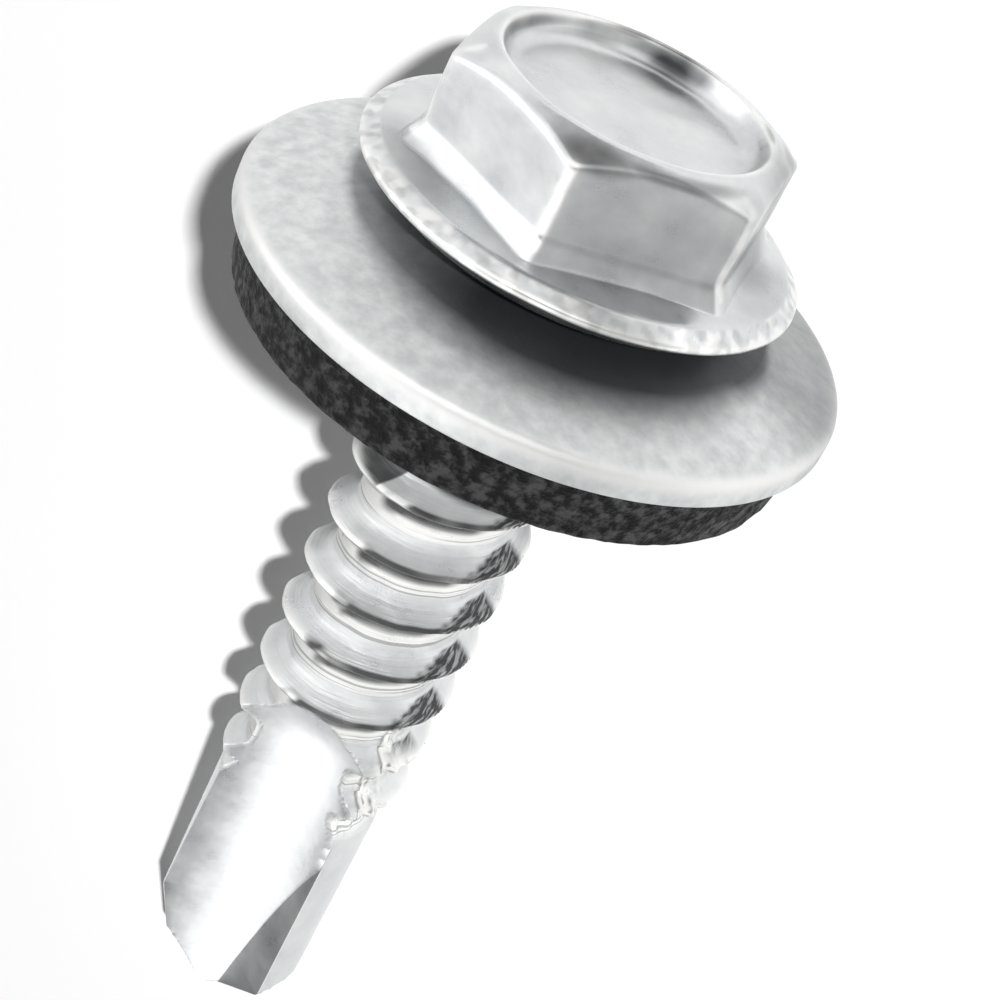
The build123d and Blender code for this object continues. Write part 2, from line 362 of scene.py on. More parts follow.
def floorRadius(turn, height, number):
    # ray from the axis to the cutter's circle: r = c.d - sqrt(R^2 - |c|^2 + (c.d)^2)
    s = shank
    centre = s["webHalf"] + s["floorRadius"]
    reach = centre - floorDistance(height)
    phi = turn - math.radians(s["rakeTurn"] - s["floorTurn"] + 180 * number)
    across = centre * np.cos(phi) - s["floorShift"] * np.sin(phi)
    inside = reach ** 2 - centre ** 2 - s["floorShift"] ** 2 + across ** 2
    side = (np.degrees(turn) - s["rakeTurn"] - 180 * number) % 360
    cut = (inside > 0) & (across > 0) & (side > 180)
    return np.where(cut, across - np.sqrt(np.maximum(inside, 0)), 99.0)


def pointRadius(turn, height):
    # relief planes of both lips: z - tip >= |rise * a + relief * b|, and the steeper heel planes
    s = shank
    above = height - s["tip"]
    rise = 1 / math.tan(math.radians(s["pointAngle"] / 2))
    phi = turn - math.radians(s["rakeTurn"])
    along, behind = np.cos(phi), np.sin(phi)
    lip = above / np.maximum(np.abs(rise * along + s["relief"] * behind), 1e-6)
    slope = rise * along + (s["relief"] + s["heelRelief"]) * behind
    heel = (above + s["heelRelief"] * s["heelStart"]) / np.maximum(np.abs(slope), 1e-6)
    return np.minimum(lip, heel)


def columnPlan():
    # columns run from one cutting face to the next, and a face has a doubled column:
    # which side of the drill each column is on, and how far along that side from 0 to 1
    share = np.linspace(0, 1, shank["columns"] // 2 + 1)
    side = np.repeat([0.0, 1.0], len(share))
    return side, np.concatenate([share, 1 + share]) - side


def columnTurns(height):
    # angle of each column: land columns end where the flute's floor leaves the steel, at the crossing
    # of the drill's circle with the cutter's circle
    s = shank
    side, part = columnPlan()
    h = np.clip(np.asarray(height, float), s["tip"], s["threadEnd"] - 0.1)[..., None]
    centre = s["webHalf"] + s["floorRadius"]
    reach = centre - floorDistance(h)
    stand = math.hypot(centre, s["floorShift"])
    cosine = (s["drillRadius"] ** 2 + stand ** 2 - reach ** 2) / (2 * s["drillRadius"] * stand)
    spread = np.degrees(np.arccos(np.clip(cosine, -1, 1)))
    bend = math.degrees(math.atan2(-s["floorShift"], centre))
    landWidth = 180 - s["floorTurn"] + bend - spread
    within = np.where(part <= s["landShare"], part / s["landShare"] * landWidth,
                      landWidth + (part - s["landShare"]) / (1 - s["landShare"]) * (180 - landWidth))
    return np.radians(s["rakeTurn"] - 180 + 180 * side + within)


def cutRadius(turn, height):
    # what the flutes and the point leave of the steel
    part = columnPlan()[1]
    nudge = 1e-7 * np.where(part < 0.5, 1, -1)  # which side of a cutting face a doubled column is on
    floors = [floorRadius(turn + nudge, height, number) for number in (0, 1)]
    return np.minimum.reduce([woundRadius(turn, height), *floors, pointRadius(turn, height)])


def shankMarks(grid, turns, heights, radii, ragged, crack):
    # what the materials read, each from 0 to 1: products of ramps over the turn, the height and the
    # distance below the crest
    s = shank
    pitch = s["pitch"]
    degrees = np.degrees(turns) % 360
    # rolled: 1 on the thread, 0 where steel was cut away; a grazing cut doesn't count
    cutDepth = woundRadius(turns, heights) - radii
    uncut = ramp(cutDepth, 0.14 + 0.3 * ragged, -0.06)
    rolled = uncut * ramp(heights, s["threadEnd"] - 0.3, 0.3) * ramp(heights, s["neckEnd"] + 0.2, -0.3)
    crest = ramp(radii, 2.55, 0.15) * uncut
    # painted shade darkens the corner of the root under each crest, the one that faces away from the head,
    # and begins in a wedge
    below = (crestHeight(turns) - heights) % pitch  # how far the point is below the crest above it
    lowerTurns = ramp(heights, -7.9, -0.5)
    fromCorner = np.abs((below + 0.3) % pitch - 0.78)
    begins = s["cornerShadeTurns"][0] + 14 * (1 - lowerTurns) + s["cornerShadeWedge"] * fromCorner
    begins = begins + 5 * unevenness(grid, 0.55, 19)
    shown = ramp(degrees, begins, 13) * ramp(degrees, s["cornerShadeTurns"][1], -14)
    widen = 0.12 * np.exp(-((degrees - 80) / 10) ** 2) * lowerTurns
    plainFlank = ramp(below, 0.1, 0.06) * ramp(below, 0.38, -0.16)
    corner = ramp(below, 0.74 + widen, -0.12) * (1 - 0.65 * plainFlank)
    corner = corner + ramp(below, 1.66 - 0.5 * widen, 0.05)
    # towards one side the flank gets painted shade in dark strokes, down to where the flute begins
    firstStroke, lastStroke = s["strokeTurns"]
    oneSide = ramp(degrees, firstStroke, 8) * ramp(degrees, lastStroke, -6)
    strokesFrom = 1.72 - 0.36 * ramp(degrees, firstStroke + 2, 28)
    aboveFlute = ramp(heights, s["strokesEnd"], 0.3)
    hatchedShade = oneSide * ramp(below, strokesFrom, 0.05) * rolled * aboveFlute
    patchy = np.clip(1 + 0.1 * unevenness(grid, 1.2, 17), 0.75, 1)
    corner = s["cornerShadeAmount"] * np.clip(corner * shown, 0, 1) * rolled * patchy * (0.35 + 0.65 * aboveFlute)
    # matt: 0 on cut steel, 1 on the root that the die has burnished white, between on the flanks
    inRoot = ramp(below, 0.45, 0.2) * ramp(below, 1.18, -0.12)
    matt = rolled * (s["flankMatt"] + (1 - s["flankMatt"]) * inRoot)
    # the ground relief planes are duller than the flute; the lips between are worn bright
    ground = (pointRadius(turns, heights) - radii < 0.01) * s["groundDullness"]
    lip = (columnPlan()[1] == 0) & (heights < s["threadEnd"])
    # painted shadow of the seal on the neck, close under the seal
    sealShadowStart = s["sealShadowStart"] - 0.65 * ramp(degrees, 84, -8) * ramp(degrees, 10, 20)
    sealShadow = s["sealShadow"] * ramp(heights, sealShadowStart, 0.12) * np.clip((-5.6 - heights) / 0.8, 0.3, 1)
    # residue and painted shade: painted shade in the root corners and under the seal, with the duller ground
    # planes and the cracks
    residueAndShade = np.clip(np.maximum.reduce([corner, ground, sealShadow, ragged * 1.1 * crack]), 0, 1)
    wear = np.clip(crest + lip + ragged + 0.9 * inRoot * rolled, 0, 1)
    return {"edgeWear": wear, "rolled": rolled, "matt": matt, "hatchedShade": hatchedShade, "residueAndShade": residueAndShade}


def makeShank():
    # radius = what the thread, the flutes and the point leave at each turn and height
    s = shank
    pitch = s["pitch"]
    tip, low, top = s["tip"], s["threadEnd"] - 0.1, s["neckEnd"] + 0.1
    drillRows = np.concatenate([tip + np.array(s["tipRows"]), np.linspace(tip + 0.38, low, s["drillRows"])])
    drillTurns = columnTurns(drillRows)
    drillHeights = np.broadcast_to(drillRows[:, None], drillTurns.shape)
    # thread rows follow the helix: z = v + pitch * turn / 360, held between the thread's two ends
    firstCrest = s["threadEnd"] - pitch - pitch * s["threadTurn"] / 360
    count = int(math.ceil((top - low) / pitch)) + 3
    v = (firstCrest + pitch * (np.arange(count)[:, None] + np.array(s["helixRows"]))).ravel()
    threadTurns = columnTurns(np.array([low]))[0]
    threadHeights = np.clip(v[:, None] + pitch * np.degrees(threadTurns) / 360, low, top)
    neckHeights = np.broadcast_to(np.array(s["neckRows"])[:, None], (len(s["neckRows"]), len(threadTurns)))
    turns = np.concatenate([drillTurns, np.broadcast_to(threadTurns, threadHeights.shape),
                            np.broadcast_to(threadTurns, neckHeights.shape)])
    heights = np.concatenate([drillHeights, threadHeights, neckHeights])
    radii = cutRadius(turns, heights)
    # rolling leaves the crest and the root a little uneven
    points = around(radii, turns, heights)
    onThread = ramp(heights, s["neckEnd"], -1.0) * ramp(heights, s["threadEnd"], 1.0)
    radii = radii + onThread * s["rollingUnevenness"] * unevenness(points, 0.9, 11) * (radii > 2.0)
    # the flute's cutter leaves a ragged burr where it breaks through the thread
    pastCut = (np.degrees(turns) - s["rakeTurn"]) % 180
    ragged = np.exp(-(pastCut / s["burrTurn"]) ** 2) * ramp(heights, s["threadEnd"] + 0.1, 0.3)
    ragged = ragged * ramp(heights, s["burrTop"], -0.6) * (pastCut > 0.5)
    burr = unevenness(points, 0.42, 13, 24)
    crack = np.maximum(np.clip(1 - np.abs(burr + 0.2) / 0.3, 0, 1), np.exp(-(pastCut / 2.5) ** 2))
    radii = radii + s["burrHeight"] * ragged * (burr - 0.3)
    grid = around(radii, turns, heights)
    # seam: the last column is the first one, a turn further up the helix on the thread
    below, wound = len(drillRows), len(v)
    grid[:below, -1] = grid[:below, 0]
    nextTurn = np.minimum(np.arange(wound) + len(s["helixRows"]), wound - 1) + below
    grid[below:below + wound, -1] = grid[nextTurn, 0]
    grid[below + wound:, -1] = grid[below + wound:, 0]
    # both ends close in a point
    ends = np.zeros((2, 1, grid.shape[1], 3))
    ends[0, ..., 2], ends[1, ..., 2] = tip, s["neckRows"][-1]
    grid = np.concatenate([ends[0], grid, ends[1]])
    turns, heights, radii, ragged, crack = (
        np.concatenate([part[:1], part, part[-1:]]) for part in (turns, heights, radii, ragged, crack))
    alongHelix = heights / pitch - np.degrees(turns) / 360  # in pitches: the same all along one crest
    return surfaceObject("screw_shank", grid, np.degrees(turns) / 360, alongHelix,
                         shankMarks(grid, turns, heights, radii, ragged, crack), "screw")


# millimetres and degrees; softness and rows go round the ring's section from its hole
washer = {
    "radius": 8.0, "holeRadius": 3.0, "thickness": 0.7, "dishAngle": 15.5, "seatGap": 0.04,
    "softness": (0.08, 0.26, 0.1, 0.08), "rows": (3, 30, 3, 20, 3), "columns": 360, "waviness": 0.012,
    # painted shade: its turn and reach under the flange, and the shaded side's turn and darkness
    "shadeTurn": 131.0, "shadeReach": (0.3, 1.55), "shadedSideTurn": 225.0, "sideShade": 0.52,
}
seal = {
    "inset": 0.3, "footInset": 0.25, "rimThickness": 1.75, "bore": 2.51,
    "softness": (0.05, 0.04, 0.16, 0.08), "rows": (3, 14, 10, 14, 3), "columns": 360, "sideUnevenness": 0.02,
}


def dishUnder(radius):
    # the steel's underside falls outwards at the dish angle
    rise = math.tan(math.radians(washer["dishAngle"]))
    depth = washer["seatGap"] + washer["thickness"] / math.cos(math.radians(washer["dishAngle"]))
    return -depth - (radius - washer["holeRadius"]) * rise


def turnedRing(lines, ring):
    # a ring's section, which starts and ends in the middle of its first side, carried round the axis
    corners = [np.array(line, float) for line in lines]
    middle = (corners[0] + corners[-1]) / 2
    path = np.array([middle] + corners + [middle])[:, None, :]
    profile = softCorners(path, (0, *ring["softness"], 0), ring["rows"])
    turn = np.radians(np.linspace(0, 360, ring["columns"] + 1))
    turns = np.broadcast_to(turn, (len(profile), len(turn)))
    return turns, profile[:, :, 0] + 0 * turns, profile[:, :, 1] + 0 * turns


def closedRing(turns, radius, height):
    # the last column is the first one, and the last row is the first one
    grid = around(radius, turns, height)
    grid[:, -1] = grid[:, 0]
    grid[-1] = grid[0]
    return grid


def makeWasher():
    # a dished disc: both faces fall outwards, and its section is thickness / cos(dishAngle) high
    top = washer["thickness"] / math.cos(math.radians(washer["dishAngle"]))
    r, h = washer["radius"], washer["holeRadius"]
    lines = [(h, dishUnder(h) + top), (r, dishUnder(r) + top), (r, dishUnder(r)), (h, dishUnder(h))]
    turns, radius, height = turnedRing(lines, washer)
    wave = unevenness(around(radius, turns, height), 2.6, 21)
    height = height + washer["waviness"] * wave * ramp(radius, 5.8, 1) * ramp(radius, 7.9, -0.5)
    grid = closedRing(turns, radius, height)
    wear = np.exp(-((radius - r) ** 2 + (height - dishUnder(r) - top + 0.1) ** 2) / 0.25 ** 2)
    # painted shade spreads out from under the flange, furthest at the shade turn, and painted shade darkens
    # one side of the zinc
    front = np.maximum(np.cos(turns - math.radians(washer["shadeTurn"])), 0)
    reach = washer["shadeReach"][0] + washer["shadeReach"][1] * front ** 2.2
    darkening = ramp(radius, 5.4 + reach, -reach) ** 1.2
    darkening = darkening * (0.65 + 0.35 * ramp(np.cos(turns - math.radians(165)), -0.087, 0.66))
    side = ramp(np.cos(turns - math.radians(washer["shadedSideTurn"])), 0.64, 0.22)
    shaded = np.clip(0.12 * front + washer["sideShade"] * side + darkening, 0, 1)
    # painted shade also dims the rim's wear on the shaded side
    wear = wear * (1 - 0.5 * side)
    return surfaceObject("sealing_washer_steel", grid[::-1], np.degrees(turns[::-1]) / 360, radius[::-1],
                         {"edgeWear": wear[::-1], "paintedShade": shaded[::-1]}, "washer")


def makeSeal():
    # a ring whose top follows the washer's underside and whose foot is flat
    outer = washer["radius"] - seal["inset"]
    low = dishUnder(outer) - seal["rimThickness"]
    bore = seal["bore"]
    foot = outer - seal["footInset"]
    lines = [(bore, dishUnder(bore)), (outer, dishUnder(outer)), (foot, low), (bore, low)]
    turns, radius, height = turnedRing(lines, seal)
    # the punched side is a little uneven, always inwards
    lumps = np.abs(unevenness(around(radius, turns, height), 0.8, 31))
    radius = radius - seal["sideUnevenness"] * ramp(radius, 7.2, 0.2) * lumps
    grid = closedRing(turns, radius, height)
    return surfaceObject("sealing_washer_rubber", grid[::-1], np.degrees(turns[::-1]) / 360, height[::-1],
                         {}, "washer")


headPiece = makeHead()
shankPiece = makeShank()
washerPiece = makeWasher()
sealPiece = makeSeal()
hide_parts("screw")
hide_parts("screw")
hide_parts("steel_washer")
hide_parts("rubber_seal")
# edges that turn by more than this angle stay crisp
for piece, angle in ((headPiece, 50), (shankPiece, 38), (washerPiece, 60), (sealPiece, 60)):
    piece.data.set_sharp_from_angle(angle=math.radians(angle))
print("shapes done")


def linear(hexColour):
    # sRGB to linear: c / 12.92 below 0.04045, else ((c + 0.055) / 1.055) ^ 2.4
    parts = [int(hexColour[k:k + 2], 16) / 255 for k in (1, 3, 5)]
    return tuple(c / 12.92 if c <= 0.04045 else ((c + 0.055) / 1.055) ** 2.4 for c in parts) + (1.0,)


def addNode(tree, kind, settings=None, links=None):
    # a setting is a property of the node or the value of one of its sockets; links go to sockets
    node = tree.nodes.new(kind)
    for key, value in (settings or {}).items():
        if isinstance(key, str) and hasattr(node, key) and key not in node.inputs:
            setattr(node, key, value)
        else:
            node.inputs[key].default_value = value
    for key, source in (links or {}).items():
        tree.links.new(source, node.inputs[key])
    return node


def newMaterial(name):
    material = bpy.data.materials.new(name)
    material.use_nodes = True
    tree = material.node_tree
    tree.nodes.clear()
    return material, tree


# Sizes are in millimetres; on Object coordinates a noise of that size has the scale 1000 / size.
# Bright zinc plate, 5 to 10 microns thick, over forged or rolled carbon steel: a silver-grey metal
# with soft clouds in its gloss, worn white on the edges, dark where oil has dried and darkened by
# painted shade in hollows and on faces turned from the light. The plate's own grain, about 0.02 mm,
# is too fine to show and is drawn at 0.38 mm.
zincPlate = {
    "grey": "#C6C8CA", "pale": "#DFE0E0", "worn": "#F0F0EE", "darkening": "#2C2D2F",
    "cloudSize": 1.42857, "grainSize": 0.384615, "grainDepth": 0.02, "roughness": (0.24, 0.38),
    # the rolled thread: its girth halfway down the flank, and the lines that the dies have drawn along it
    "girth": 15.1, "lineLength": 5.0, "lineSpacing": 0.111111, "lineDepth": 0.08,
    # laps where the root meets the flank
    "lap": "#6E7072", "lapLength": 8.33333, "lapSpacing": 0.0625, "lapAmount": 0.6,
    # slanting strokes of painted shade; the slant is in radians
    "strokeLength": 0.5, "strokeSpacing": 0.062, "strokeSlant": 0.238,
    # painted shade on the cutting faces of the drill
    "faceShade": "#58595B", "faceShadeAmount": 0.55,
    "metallic": (0.95, 0.14),      # on cut steel and on the matt root of the thread
}


def zincPlatedSteel(name, rolled):
    z = zincPlate
    material, tree = newMaterial(name)
    place = addNode(tree, "ShaderNodeTexCoord").outputs["Object"]
    cloud = addNode(tree, "ShaderNodeTexNoise", {
        "Scale": 1000 / z["cloudSize"], "Detail": 4.0, "Roughness": 0.6}, {"Vector": place}).outputs["Fac"]
    grain = addNode(tree, "ShaderNodeTexNoise", {
        "Scale": 1000 / z["grainSize"], "Detail": 1.0, "Roughness": 0.5}, {"Vector": place}).outputs["Fac"]
    wear = addNode(tree, "ShaderNodeAttribute", {"attribute_name": "edgeWear"}).outputs["Fac"]
    residueAndShade = addNode(tree, "ShaderNodeAttribute", {"attribute_name": "residueAndShade"}).outputs["Fac"]
    tone = addNode(tree, "ShaderNodeMapRange", {1: 0.3, 2: 0.7, 3: 0.0, 4: 1.0}, {0: cloud}).outputs[0]
    plate = addNode(tree, "ShaderNodeMix", {"data_type": "RGBA", 6: linear(z["grey"]), 7: linear(z["pale"])},
                    {0: tone}).outputs[2]
    if rolled:
        # the cutting faces, where u stays at the rake turn, get painted shade and lose their wear
        uv = addNode(tree, "ShaderNodeUVMap", {"uv_map": "along"}).outputs[0]
        uvParts = addNode(tree, "ShaderNodeSeparateXYZ", None, {0: uv})
        halfTurn = addNode(tree, "ShaderNodeMath", {"operation": "WRAP", 1: 0.5, 2: 0.0},
                           {0: uvParts.outputs[0]}).outputs[0]
        rake = shank["rakeTurn"] / 360
        atFace = addNode(tree, "ShaderNodeMath", {"operation": "COMPARE", 1: rake, 2: 0.0004},
                         {0: halfTurn}).outputs[0]
        onThread = addNode(tree, "ShaderNodeAttribute", {"attribute_name": "rolled"}).outputs["Fac"]
        face = addNode(tree, "ShaderNodeMath", {"operation": "SUBTRACT", "use_clamp": True},
                       {0: atFace, 1: onThread}).outputs[0]
        wear = addNode(tree, "ShaderNodeMath", {"operation": "SUBTRACT", "use_clamp": True},
                       {0: wear, 1: face}).outputs[0]
    worn = addNode(tree, "ShaderNodeMix", {"data_type": "RGBA", 7: linear(z["worn"])},
                   {0: wear, 6: plate}).outputs[2]
    # the darkening colour stands for real residue and for painted shade
    colour = addNode(tree, "ShaderNodeMix", {"data_type": "RGBA", 7: linear(z["darkening"])},
                     {0: residueAndShade, 6: worn}).outputs[2]
    rough = addNode(tree, "ShaderNodeMapRange", {1: 0.3, 2: 0.7, 3: z["roughness"][0], 4: z["roughness"][1]},
                    {0: cloud}).outputs[0]
    normal = addNode(tree, "ShaderNodeBump", {"Strength": 0.3, "Distance": z["grainDepth"] / 1000},
                     {"Height": grain}).outputs[0]
    links = {}
    if rolled:
        # u runs round the screw and v along the thread's helix; both are in millimetres after this
        spread = addNode(tree, "ShaderNodeMapping", {"Scale": (z["girth"], shank["pitch"], 1.0)},
                         {"Vector": uv}).outputs[0]
        drawn = addNode(tree, "ShaderNodeMapping", {
            "Scale": (1 / z["lineLength"], 1 / z["lineSpacing"], 1.0)}, {"Vector": spread}).outputs[0]
        lines = addNode(tree, "ShaderNodeTexNoise", {"Scale": 1.0, "Detail": 5.0, "Roughness": 0.65},
                        {"Vector": drawn}).outputs["Fac"]
        height = addNode(tree, "ShaderNodeMath", {"operation": "MULTIPLY"},
                         {0: lines, 1: onThread}).outputs[0]
        normal = addNode(tree, "ShaderNodeBump", {"Strength": 0.5, "Distance": z["lineDepth"] / 1000},
                         {"Height": height, "Normal": normal}).outputs[0]
        # two or three darker laps lie 0.47 to 0.61 of a pitch below the crest
        crestPlace = shank["threadEnd"] / shank["pitch"] - 1 - shank["threadTurn"] / 360
        below = addNode(tree, "ShaderNodeMath", {"operation": "SUBTRACT", 0: crestPlace - 0.04},
                        {1: uvParts.outputs[1]}).outputs[0]
        part = addNode(tree, "ShaderNodeMath", {"operation": "FRACT"}, {0: below}).outputs[0]
        band = addNode(tree, "ShaderNodeMath", {"operation": "COMPARE", 1: 0.5, 2: 0.07},
                       {0: part}).outputs[0]
        lapPlace = addNode(tree, "ShaderNodeMapping", {
            "Scale": (1 / z["lapLength"], 1 / z["lapSpacing"], 1.0)}, {"Vector": spread}).outputs[0]
        lapNoise = addNode(tree, "ShaderNodeTexNoise", {"Scale": 1.0, "Detail": 1.0, "Roughness": 0.4},
                           {"Vector": lapPlace}).outputs["Fac"]
        lap = addNode(tree, "ShaderNodeMapRange", {1: 0.52, 2: 0.58, 3: 0.0, 4: z["lapAmount"]},
                      {0: lapNoise}).outputs[0]
        lapInBand = addNode(tree, "ShaderNodeMath", {"operation": "MULTIPLY"}, {0: lap, 1: band}).outputs[0]
        lapOn = addNode(tree, "ShaderNodeMath", {"operation": "MULTIPLY"},
                        {0: lapInBand, 1: onThread}).outputs[0]
        colour = addNode(tree, "ShaderNodeMix", {"data_type": "RGBA", 7: linear(z["lap"])},
                         {0: lapOn, 6: colour}).outputs[2]
        # painted shade in strokes shows only where the flank was marked as hatched
        slant = addNode(tree, "ShaderNodeMapping", {
            "vector_type": "TEXTURE", "Rotation": (0, 0, z["strokeSlant"]),
            "Scale": (z["strokeLength"], z["strokeSpacing"], 1.0)}, {"Vector": spread}).outputs[0]
        strokeNoise = addNode(tree, "ShaderNodeTexNoise", {"Scale": 1.0, "Detail": 2.0, "Roughness": 0.5},
                              {"Vector": slant}).outputs["Fac"]
        stroke = addNode(tree, "ShaderNodeMapRange", {1: 0.39, 2: 0.52, 3: 0.55, 4: 0.97},
                         {0: strokeNoise}).outputs[0]
        hatchedShade = addNode(tree, "ShaderNodeAttribute", {"attribute_name": "hatchedShade"}).outputs["Fac"]
        strokes = addNode(tree, "ShaderNodeMath", {"operation": "MULTIPLY"},
                          {0: stroke, 1: hatchedShade}).outputs[0]
        colour = addNode(tree, "ShaderNodeMix", {"data_type": "RGBA", 7: linear(z["darkening"])},
                         {0: strokes, 6: colour}).outputs[2]
        faceShade = addNode(tree, "ShaderNodeMath", {"operation": "MULTIPLY", 1: z["faceShadeAmount"]},
                          {0: face}).outputs[0]
        colour = addNode(tree, "ShaderNodeMix", {"data_type": "RGBA", 7: linear(z["faceShade"])},
                         {0: faceShade, 6: colour}).outputs[2]
        # rolling leaves the thread half matt and its root almost white; flutes and point are cut bright
        matt = addNode(tree, "ShaderNodeAttribute", {"attribute_name": "matt"}).outputs["Fac"]
        links["Metallic"] = addNode(tree, "ShaderNodeMapRange", {
            1: 0.0, 2: 1.0, 3: z["metallic"][0], 4: z["metallic"][1]}, {0: matt}).outputs[0]
    shader = addNode(tree, "ShaderNodeBsdfPrincipled", {"Metallic": 1.0},
                     {"Base Color": colour, "Roughness": rough, "Normal": normal, **links})
    addNode(tree, "ShaderNodeOutputMaterial", None, {"Surface": shader.outputs[0]})
    return material


# Hot-dip galvanised steel sheet, pressed into a dish: paler and duller than the plate, with a fine
# mottle from its zinc crystals, which have grown to about 0.4 mm, and oxide that makes it less metallic.
galvanised = {
    "grey": "#CBCDCE", "pale": "#E4E5E5", "shaded": "#47494B", "worn": "#E4E4E3",
    "mottleSize": 0.434783, "mottleDepth": 0.05, "cloudSize": 2.38095, "roughness": (0.42, 0.55),
    "metallic": 0.75,
}


def galvanisedSheet():
    g = galvanised
    material, tree = newMaterial("galvanised_sheet_dull")
    place = addNode(tree, "ShaderNodeTexCoord").outputs["Object"]
    mottle = addNode(tree, "ShaderNodeTexNoise", {
        "Scale": 1000 / g["mottleSize"], "Detail": 3.0, "Roughness": 0.55}, {"Vector": place}).outputs["Fac"]
    cloud = addNode(tree, "ShaderNodeTexNoise", {
        "Scale": 1000 / g["cloudSize"], "Detail": 3.0, "Roughness": 0.5}, {"Vector": place}).outputs["Fac"]
    wear = addNode(tree, "ShaderNodeAttribute", {"attribute_name": "edgeWear"}).outputs["Fac"]
    paintedShade = addNode(tree, "ShaderNodeAttribute", {"attribute_name": "paintedShade"}).outputs["Fac"]
    tone = addNode(tree, "ShaderNodeMapRange", {1: 0.32, 2: 0.68, 3: 0.0, 4: 1.0}, {0: mottle}).outputs[0]
    zinc = addNode(tree, "ShaderNodeMix", {"data_type": "RGBA", 6: linear(g["grey"]), 7: linear(g["pale"])},
                   {0: tone}).outputs[2]
    # painted shade under the flange and on one side darkens the zinc
    withShade = addNode(tree, "ShaderNodeMix", {"data_type": "RGBA", 7: linear(g["shaded"])},
                     {0: paintedShade, 6: zinc}).outputs[2]
    colour = addNode(tree, "ShaderNodeMix", {"data_type": "RGBA", 7: linear(g["worn"])},
                     {0: wear, 6: withShade}).outputs[2]
    rough = addNode(tree, "ShaderNodeMapRange", {1: 0.3, 2: 0.7, 3: g["roughness"][0], 4: g["roughness"][1]},
                    {0: cloud}).outputs[0]
    normal = addNode(tree, "ShaderNodeBump", {"Strength": 0.35, "Distance": g["mottleDepth"] / 1000},
                     {"Height": mottle}).outputs[0]
    shader = addNode(tree, "ShaderNodeBsdfPrincipled", {"Metallic": g["metallic"]},
                     {"Base Color": colour, "Roughness": rough, "Normal": normal})
    addNode(tree, "ShaderNodeOutputMaterial", None, {"Surface": shader.outputs[0]})
    return material


# Carbon-black EPDM rubber, calendered and punched: a matt near-black with an open grain of about
# 0.3 mm whose torn tops are greyer. Rubber's usual IOR of 1.5, with the gloss of a dusty surface.
rubber = {
    "black": "#030303", "grey": "#3B3B3C", "grainSize": 0.30303, "grainDepth": 0.25,
    "roughness": (0.85, 0.55), "ior": 1.5, "specular": 0.3,
}


def epdmRubber():
    r = rubber
    material, tree = newMaterial("epdm_rubber_punched")
    place = addNode(tree, "ShaderNodeTexCoord").outputs["Object"]
    grain = addNode(tree, "ShaderNodeTexNoise", {
        "Scale": 1000 / r["grainSize"], "Detail": 3.0, "Roughness": 0.6}, {"Vector": place}).outputs["Fac"]
    tone = addNode(tree, "ShaderNodeMapRange", {1: 0.46, 2: 0.64, 3: 0.0, 4: 1.0}, {0: grain}).outputs[0]
    colour = addNode(tree, "ShaderNodeMix", {
        "data_type": "RGBA", 6: linear(r["black"]), 7: linear(r["grey"])}, {0: tone}).outputs[2]
    rough = addNode(tree, "ShaderNodeMapRange", {1: 0.3, 2: 0.7, 3: r["roughness"][0], 4: r["roughness"][1]},
                    {0: grain}).outputs[0]
    normal = addNode(tree, "ShaderNodeBump", {"Strength": 0.9, "Distance": r["grainDepth"] / 1000},
                     {"Height": grain}).outputs[0]
    shader = addNode(tree, "ShaderNodeBsdfPrincipled", {"IOR": r["ior"], "Specular IOR Level": r["specular"]},
                     {"Base Color": colour, "Roughness": rough, "Normal": normal})
    addNode(tree, "ShaderNodeOutputMaterial", None, {"Surface": shader.outputs[0]})
    return material


headPiece.data.materials.append(zincPlatedSteel("zinc_plate_on_forged_steel", False))
shankPiece.data.materials.append(zincPlatedSteel("zinc_plate_on_rolled_steel", True))
washerPiece.data.materials.append(galvanisedSheet())
sealPiece.data.materials.append(epdmRubber())
print("materials done")


studio = {
    "floorReach": 0.4, "floorColour": "#FBFBFB", "floorGlow": 0.01, "litFrom": 0.05, "litBy": 0.16,
    "diffuseLevel": 0.04,
    # cards round the object that the bare metal sees: direction, full within and gone beyond, in
    # degrees, and level
    "cards": (
        ((-0.14, 0.97, 0.18), 9, 20, 0.28),     # beyond the head
        ((0.36, 0.92, 0.10), 12, 28, 0.46),     # beyond the head, right
        ((0.90, 0.20, 0.40), 18, 38, 0.50),     # right
        ((0.76, -0.62, 0.08), 14, 34, 0.66),    # right, towards the tip
        ((0.42, -0.90, 0.12), 14, 27, 0.40),    # beyond the tip, right
        ((0.0, 0.68, 0.73), 14, 34, 1.8),       # white, above the head
        ((-0.66, -0.75, 0.00), 12, 24, 0.30),   # left, towards the tip
        ((0.32, 0.06, 0.94), 7, 14, 0.12),      # dark, overhead
        ((-0.70, 0.05, 0.71), 20, 50, 1.35),    # white, above left
        ((-0.10, -0.92, 0.38), 14, 34, 1.6),    # white, beyond the tip
        ((0.10, -0.72, 0.68), 14, 40, 1.35),    # white, above the tip
    ),
    # lamps: name, place, aimed at, size, power, whether metal mirrors it
    "lamps": (
        ("key_softbox", (0.140, 0.0955, 0.253), (0, 0, 0.006), 0.011, 1.04, False),
        ("left_softbox", (-0.16, 0.01, 0.17), (0, 0, 0.008), 0.16, 0.08, True),
    ),
    "cameraPlace": (0.0182521, 0.02039904, 0.05825549), "cameraTurn": (-0.0705415, 0.4165640, 0.6025706),
    "lens": 79.265,
}


